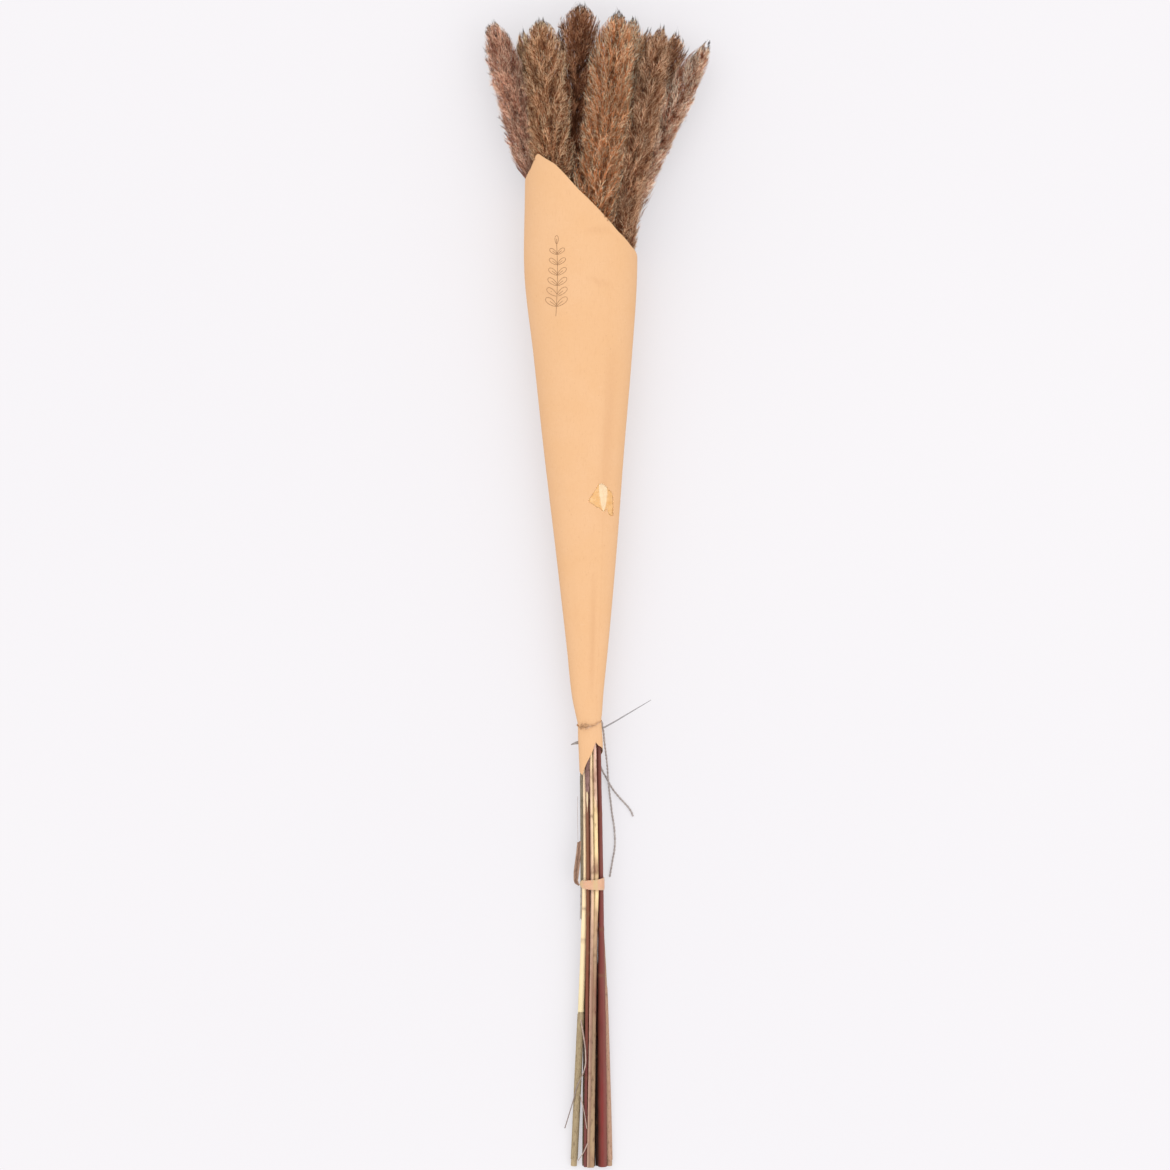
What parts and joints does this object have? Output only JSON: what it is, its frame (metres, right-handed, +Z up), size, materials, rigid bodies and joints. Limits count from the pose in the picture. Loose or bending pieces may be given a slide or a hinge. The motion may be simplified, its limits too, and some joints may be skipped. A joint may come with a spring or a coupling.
{
  "type": "bundle of pampas grass",
  "caption": "Bundle of long dried grass plumes lying flat, rolled in a kraft paper sleeve tied with twine, its bare stems held by a flat rubber band.",
  "frame": {"origin": "middle of the bundle's footprint, on the surface that it lies on", "axes": "+Y along the stems from the cut ends to the plume tips, +Z up from the surface, +X to the right of someone looking down on it with the plumes pointing away"},
  "size_m": [0.2001, 0.9945, 0.0688],
  "materials": {
    "stem_01": "dry reed stem, satin",
    "plume_01": "dry fluffy plume, matte",
    "stem_02": "dry reed stem, satin",
    "plume_02": "dry fluffy plume, matte",
    "stem_03": "dry reed stem, satin",
    "plume_03": "dry fluffy plume, matte",
    "stem_04": "dry reed stem, satin",
    "plume_04": "dry fluffy plume, matte",
    "stem_05": "dry reed stem, satin",
    "plume_05": "dry fluffy plume, matte",
    "stem_06": "dry reed stem, satin",
    "plume_06": "dry fluffy plume, matte",
    "stem_07": "dry reed stem, satin",
    "plume_07": "dry fluffy plume, matte",
    "stem_08": "dry reed stem, satin",
    "plume_08": "dry fluffy plume, matte",
    "stem_09": "dry reed stem, satin",
    "plume_09": "dry fluffy plume, matte",
    "stem_10": "dry reed stem, satin",
    "plume_10": "dry fluffy plume, matte",
    "paper_sleeve": "smooth kraft paper, matte",
    "clear_tape": "clear yellowish tape, gloss",
    "twine_tie": "brown jute twine, matte",
    "twine_end_long": "brown jute twine, matte",
    "twine_end_short": "brown jute twine, matte",
    "rubber_band": "beige flat rubber band, satin",
    "loose_leaf": "dry brown leaf, matte",
    "dry_blade": "thin grey dry blade, matte",
    "leaf_stub": "short dark dry stub, matte"
  },
  "bodies": {
    "root": {"stem_01": "stem_01", "plume_01": "plume_01", "stem_02": "stem_02", "plume_02": "plume_02", "stem_03": "stem_03", "plume_03": "plume_03", "stem_04": "stem_04", "plume_04": "plume_04", "stem_05": "stem_05", "plume_05": "plume_05", "stem_06": "stem_06", "plume_06": "plume_06", "stem_07": "stem_07", "plume_07": "plume_07", "stem_08": "stem_08", "plume_08": "plume_08", "stem_09": "stem_09", "plume_09": "plume_09", "stem_10": "stem_10", "plume_10": "plume_10", "paper_sleeve": "paper_sleeve", "clear_tape": "clear_tape", "twine_tie": "twine_tie", "twine_end_long": "twine_end_long", "twine_end_short": "twine_end_short", "rubber_band": "rubber_band", "loose_leaf": "loose_leaf", "dry_blade": "dry_blade", "leaf_stub": "leaf_stub"}
  },
  "joints": []
}
